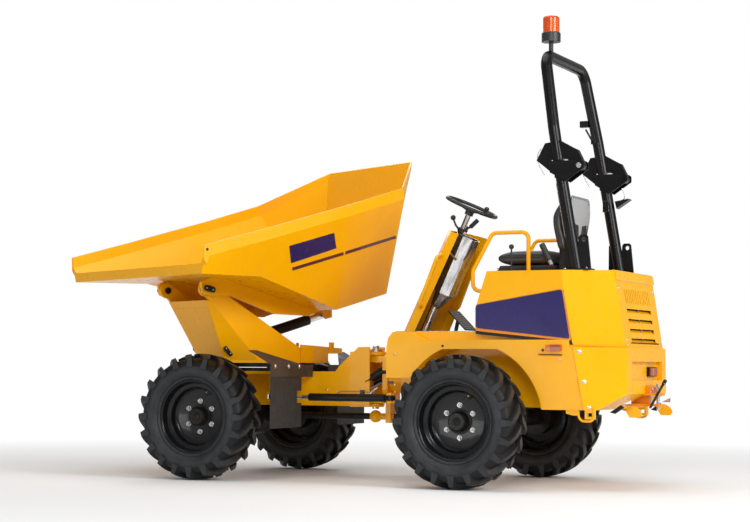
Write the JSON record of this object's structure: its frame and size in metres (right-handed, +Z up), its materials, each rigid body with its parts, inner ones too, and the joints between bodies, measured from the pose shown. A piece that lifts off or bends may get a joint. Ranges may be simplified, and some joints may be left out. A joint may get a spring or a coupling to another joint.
{
  "type": "articulated swivel-skip site dumper",
  "caption": "Articulated site dumper with a power-swivel tipping skip over the front axle, an open driver's seat behind it and a folding roll-over hoop.",
  "frame": {"origin": "bottom centre of the whole machine's box, on the ground", "axes": "+X forward along the machine, +Y to its left, +Z up"},
  "size_m": [4.5388, 2.5863, 3.2376],
  "materials": {
    "yellow_paint": "gloss",
    "black_paint": "gloss",
    "dark_paint": "satin",
    "chrome": "polished",
    "steel": "satin",
    "tyre_rubber": "matt",
    "rubber": "matt",
    "seat_vinyl": "matt",
    "black_plastic": "satin",
    "amber_lens": "gloss",
    "cast_iron": "matt",
    "aluminium": "satin"
  },
  "bodies": {
    "rear": {"rear_frame": "yellow_paint", "rear_body": "yellow_paint", "rear_wings": "yellow_paint", "rear_axle": "dark_paint", "engine_block": "cast_iron", "hood": "yellow_paint", "rear_grille": "yellow_paint", "side_boxes": "yellow_paint", "seat_box": "yellow_paint", "floor_plate": "aluminium", "console": "yellow_paint", "steering_column": "black_plastic", "control_levers": "black_plastic", "handrails": "yellow_paint", "seat_cushion": "seat_vinyl", "seat_back": "seat_vinyl", "rops_legs": "black_paint", "tow_hitch": "black_paint", "lamps": "black_plastic", "rear_propshaft": "dark_paint"},
    "steering_wheel": {"steering_wheel": "black_plastic"},
    "rops_hoop": {"rops_hoop": "black_paint", "beacon_base": "black_plastic", "beacon_lens": "amber_lens"},
    "wheel_rear_left": {"tyre_rear_left": "tyre_rubber", "rim_rear_left": "black_paint"},
    "wheel_rear_right": {"tyre_rear_right": "tyre_rubber", "rim_rear_right": "black_paint"},
    "yoke": {"centre_yoke": "dark_paint"},
    "front": {"front_frame": "yellow_paint", "pivot_pins": "steel", "front_axle": "dark_paint", "front_propshaft": "dark_paint", "slew_ring": "dark_paint", "front_mudguards": "dark_paint", "mudflaps": "rubber"},
    "wheel_front_left": {"tyre_front_left": "tyre_rubber", "rim_front_left": "black_paint"},
    "wheel_front_right": {"tyre_front_right": "tyre_rubber", "rim_front_right": "black_paint"},
    "swivel": {"slew_ring_upper": "dark_paint", "swivel_frame": "yellow_paint", "swivel_tail": "yellow_paint", "swivel_pins": "steel"},
    "skip": {"skip_shell": "yellow_paint", "skip_rails": "yellow_paint"},
    "tip_barrel": {"tip_barrel": "black_paint"},
    "tip_rod": {"tip_rod": "chrome"},
    "steer_barrel": {"steer_barrel": "black_paint"},
    "steer_rod": {"steer_rod": "chrome"}
  },
  "joints": [
    {"name": "oscillation", "type": "hinge", "parent": "rear", "child": "yoke", "pos_m": [-0.444, -0.073, 0.715], "axis": [1, 0, 0], "range_deg": [-10, 10]},
    {"name": "steer", "type": "hinge", "parent": "yoke", "child": "front", "pos_m": [-0.089, -0.073, 0.72], "axis": [0, 0, 1], "range_deg": [-33, 33]},
    {"name": "swivel", "type": "hinge", "parent": "front", "child": "swivel", "pos_m": [0.942, -0.073, 0.836], "axis": [0, 0, 1], "range_deg": [-153, 27]},
    {"name": "tip", "type": "hinge", "parent": "swivel", "child": "skip", "pos_m": [1.21712, 0.46695, 1.374], "axis": [-0.891, 0.454, 0], "range_deg": [-14, 55]},
    {"name": "tip_barrel_swing", "type": "hinge", "parent": "swivel", "child": "tip_barrel", "pos_m": [1.10907, 0.25489, 0.922], "axis": [-0.891, 0.454, 0], "range_deg": [-14.16, 52.7]},
    {"name": "tip_rod_slide", "type": "slide", "parent": "tip_barrel", "child": "tip_rod", "axis": [-0.4361, -0.8559, 0.2778], "range_m": [-0.1192, 0.4595]},
    {"name": "steer_barrel_swing", "type": "hinge", "parent": "yoke", "child": "steer_barrel", "pos_m": [-0.354, 0.227, 0.59], "axis": [0, 0, 1], "range_deg": [-25.09, 25.09]},
    {"name": "steer_rod_slide", "type": "slide", "parent": "steer_barrel", "child": "steer_rod", "axis": [1, 0, 0], "range_m": [-0.173, 0.173]},
    {"name": "rops_fold", "type": "hinge", "parent": "rear", "child": "rops_hoop", "pos_m": [-1.839, -0.073, 2.168], "axis": [0, -1, 0], "range_deg": [0, 120]},
    {"name": "steering_wheel_turn", "type": "hinge", "parent": "rear", "child": "steering_wheel", "pos_m": [-0.846, -0.073, 1.961], "axis": [-0.4147, 0, 0.91], "continuous": true},
    {"name": "wheel_rear_left_spin", "type": "hinge", "parent": "rear", "child": "wheel_rear_left", "pos_m": [-1.084, 0.702, 0.45], "axis": [0, 1, 0], "continuous": true},
    {"name": "wheel_rear_right_spin", "type": "hinge", "parent": "rear", "child": "wheel_rear_right", "pos_m": [-1.084, -0.848, 0.45], "axis": [0, 1, 0], "continuous": true},
    {"name": "wheel_front_left_spin", "type": "hinge", "parent": "front", "child": "wheel_front_left", "pos_m": [0.942, 0.702, 0.45], "axis": [0, 1, 0], "continuous": true},
    {"name": "wheel_front_right_spin", "type": "hinge", "parent": "front", "child": "wheel_front_right", "pos_m": [0.942, -0.848, 0.45], "axis": [0, 1, 0], "continuous": true}
  ],
  "couplings": [
    {"joint": "tip_barrel_swing", "follows": "tip", "ratio": 0.94},
    {"joint": "tip_rod_slide", "follows": "tip", "m_per_rad": 0.47556},
    {"joint": "steer_barrel_swing", "follows": "steer", "ratio": 0.73},
    {"joint": "steer_rod_slide", "follows": "steer", "m_per_rad": -0.29507}
  ]
}
